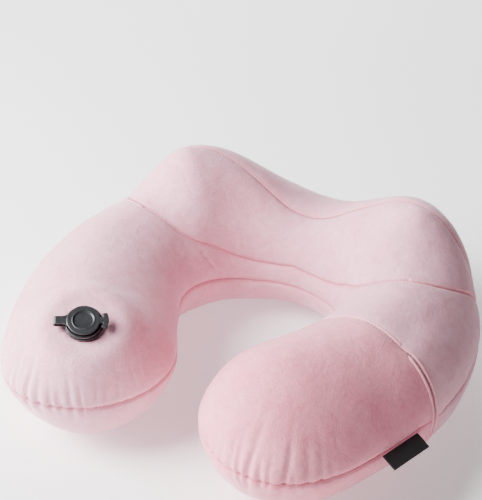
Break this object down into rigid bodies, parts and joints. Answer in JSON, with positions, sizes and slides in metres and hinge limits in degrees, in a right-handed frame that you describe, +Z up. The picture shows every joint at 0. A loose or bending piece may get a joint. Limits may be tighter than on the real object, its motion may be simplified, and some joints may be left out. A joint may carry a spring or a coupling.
{
  "type": "u shaped neck pillow",
  "caption": "U shaped inflatable neck pillow with a velvet zip-off cover, two raised humps, rounded arms and a capped air valve.",
  "frame": {"origin": "middle of the pillow's outline at the surface it rests on", "axes": "+X across the pillow towards the arm with the label, +Y towards the back of the neck, +Z up"},
  "size_m": [0.3737, 0.3664, 0.1427],
  "materials": {
    "velvet": "matte",
    "velvet_arm": "matte",
    "bladder_film": "satin",
    "valve_plastic": "satin",
    "seal_rubber": "matte",
    "flap_silicone": "satin",
    "pin_metal": "satin",
    "zip_tape": "matte",
    "zip_coil": "satin",
    "zip_metal": "satin",
    "label_weave": "matte"
  },
  "bodies": {
    "pillow": {"cover_main_panel": "velvet", "cover_hump_panel": "velvet", "cover_back_panel": "velvet", "cover_arm_panel": "velvet_arm", "cover_base_panel": "velvet", "cover_arm_base_panel": "velvet_arm", "bladder_top_film": "bladder_film", "bladder_base_film": "bladder_film", "bladder_weld": "bladder_film", "valve_base": "valve_plastic", "zip_tape_shoulder": "zip_tape", "zip_tape_arm": "zip_tape", "zip_coil_shoulder": "zip_coil", "zip_coil_arm": "zip_coil", "zip_stops": "zip_metal", "label_tag": "label_weave"},
    "valve_insert": {"valve_insert": "valve_plastic", "valve_seal_washer": "seal_rubber", "check_flap_pin": "pin_metal", "cap_strap": "valve_plastic"},
    "valve_cap": {"valve_cap": "valve_plastic"},
    "check_flap": {"check_flap": "flap_silicone"},
    "zip_slider": {"zip_slider": "zip_metal"}
  },
  "joints": [
    {"name": "insert_pull", "type": "slide", "parent": "pillow", "child": "valve_insert", "axis": [0.2132, -0.3517, 0.9115], "range_m": [0, 0.012]},
    {"name": "cap_hinge", "type": "hinge", "parent": "valve_insert", "child": "valve_cap", "pos_m": [-0.08934, -0.15261, 0.11165], "axis": [0.428, -0.805, -0.4108], "range_deg": [0, 150], "deforming": ["cap_strap"]},
    {"name": "flap_hinge", "type": "hinge", "parent": "valve_insert", "child": "check_flap", "pos_m": [-0.08022, -0.14146, 0.09931], "axis": [-0.428, 0.805, 0.4108], "range_deg": [0, 60], "stiffness_Nm_per_rad": 0.0001, "springref_deg": -28.65},
    {"name": "zip_slide", "type": "hinge", "parent": "pillow", "child": "zip_slider", "pos_m": [0.13082, -0.04744, 0.0566], "axis": [-0.2569, -0.9664, 0], "range_deg": [-4.5, 96]}
  ]
}
